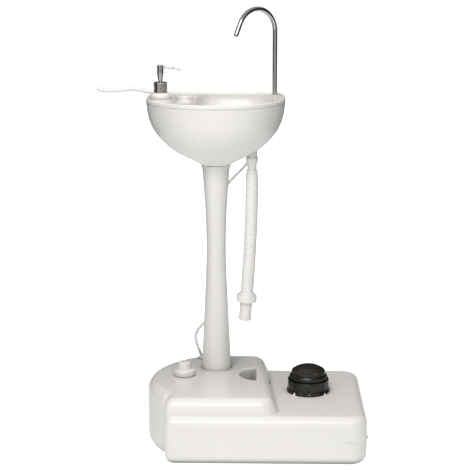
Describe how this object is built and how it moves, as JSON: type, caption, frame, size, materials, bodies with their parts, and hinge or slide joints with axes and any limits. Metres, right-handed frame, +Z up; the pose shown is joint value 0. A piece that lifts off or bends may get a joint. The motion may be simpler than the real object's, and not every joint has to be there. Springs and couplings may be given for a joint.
{
  "type": "portable handwash sink",
  "caption": "Free-standing handwash sink: water tank base with foot pump, hollow column, D-shaped basin, gooseneck faucet, soap dispenser and hanging drain hose.",
  "frame": {"origin": "on the floor, at the foot of the column's axis", "axes": "+Z up, +X towards the foot pump end of the tank, +Y towards the back of the sink"},
  "size_m": [0.6449, 0.3894, 1.02],
  "materials": {
    "tank_plastic": "satin blow-moulded polyethylene",
    "white_plastic": "smooth moulded",
    "basin_plastic": "satin moulded",
    "black_rubber": "satin",
    "black_plastic": "satin",
    "grey_rubber": "matte",
    "clear_tube": "translucent flexible",
    "hose_plastic": "semi-gloss corrugated",
    "bright_metal": "polished",
    "steel": "plain"
  },
  "bodies": {
    "stand": {"tank": "tank_plastic", "pump_gasket": "grey_rubber", "pump_plate": "black_plastic", "pump_intake_flap": "black_rubber", "pump_delivery_flap": "black_rubber", "pump_collar": "black_plastic", "pump_bellows": "black_rubber", "pump_spring": "steel", "outlet_fitting": "white_plastic", "outlet_seal": "grey_rubber", "outlet_nut": "white_plastic", "dip_tube": "clear_tube", "dip_strainer": "white_plastic", "supply_tube": "clear_tube", "column": "basin_plastic", "basin_shell": "basin_plastic", "basin_bowl": "basin_plastic", "drain_strainer": "white_plastic", "drain_gasket": "grey_rubber", "drain_nut": "white_plastic", "drain_tail": "white_plastic", "hose_cuff": "hose_plastic", "drain_hose": "hose_plastic", "hose_collar": "hose_plastic", "hose_pipe": "hose_plastic", "faucet_shank": "white_plastic", "faucet_seals": "black_rubber", "faucet_washer": "grey_rubber", "faucet_nut": "white_plastic", "towel_bar": "white_plastic", "towel_clip": "grey_rubber", "clip_screws": "steel"},
    "cap_seal": {"fill_cap_seal": "grey_rubber"},
    "cap": {"fill_cap": "white_plastic"},
    "pump_pedal": {"pump_dome": "black_plastic"},
    "spout": {"faucet_spout": "bright_metal", "spout_insert": "black_plastic"},
    "soap_bottle": {"soap_bottle": "white_plastic", "soap_collar": "bright_metal", "soap_cylinder": "white_plastic", "soap_dip_tube": "clear_tube", "soap_spring": "steel"},
    "soap_stem": {"soap_stem": "white_plastic"},
    "soap_head": {"soap_head": "bright_metal"},
    "soap_ball": {"soap_ball": "steel"}
  },
  "joints": [
    {"name": "cap_rise", "type": "slide", "parent": "stand", "child": "cap_seal", "axis": [0, 0, 1], "range_m": [0, 0.008]},
    {"name": "cap_turn", "type": "hinge", "parent": "cap_seal", "child": "cap", "pos_m": [-0.075, -0.058, 0.165], "axis": [0, 0, 1], "range_deg": [0, 720]},
    {"name": "pump_press", "type": "slide", "parent": "stand", "child": "pump_pedal", "axis": [0, 0, -1], "range_m": [0, 0.02], "stiffness_N_per_m": 2500, "springref_m": -0.008, "deforming": ["pump_bellows", "pump_spring"]},
    {"name": "faucet_swivel", "type": "hinge", "parent": "stand", "child": "spout", "pos_m": [0.1385, 0.095, 0.8], "axis": [0, 0, 1], "range_deg": [-60, 120]},
    {"name": "soap_lift", "type": "slide", "parent": "stand", "child": "soap_bottle", "axis": [0, 0, 1], "range_m": [0, 0.07]},
    {"name": "soap_press", "type": "slide", "parent": "soap_bottle", "child": "soap_stem", "axis": [0, 0, -1], "range_m": [0, 0.012], "stiffness_N_per_m": 250, "springref_m": -0.008, "deforming": ["soap_spring"]},
    {"name": "soap_turn", "type": "hinge", "parent": "soap_stem", "child": "soap_head", "pos_m": [-0.13, 0.015, 0.86], "axis": [0, 0, 1], "range_deg": [-170, 170]},
    {"name": "soap_valve", "type": "slide", "parent": "soap_bottle", "child": "soap_ball", "axis": [0, 0, 1], "range_m": [0, 0.002]}
  ],
  "couplings": [
    {"joint": "cap_rise", "follows": "cap_turn", "m_per_rad": 0.00063662}
  ]
}
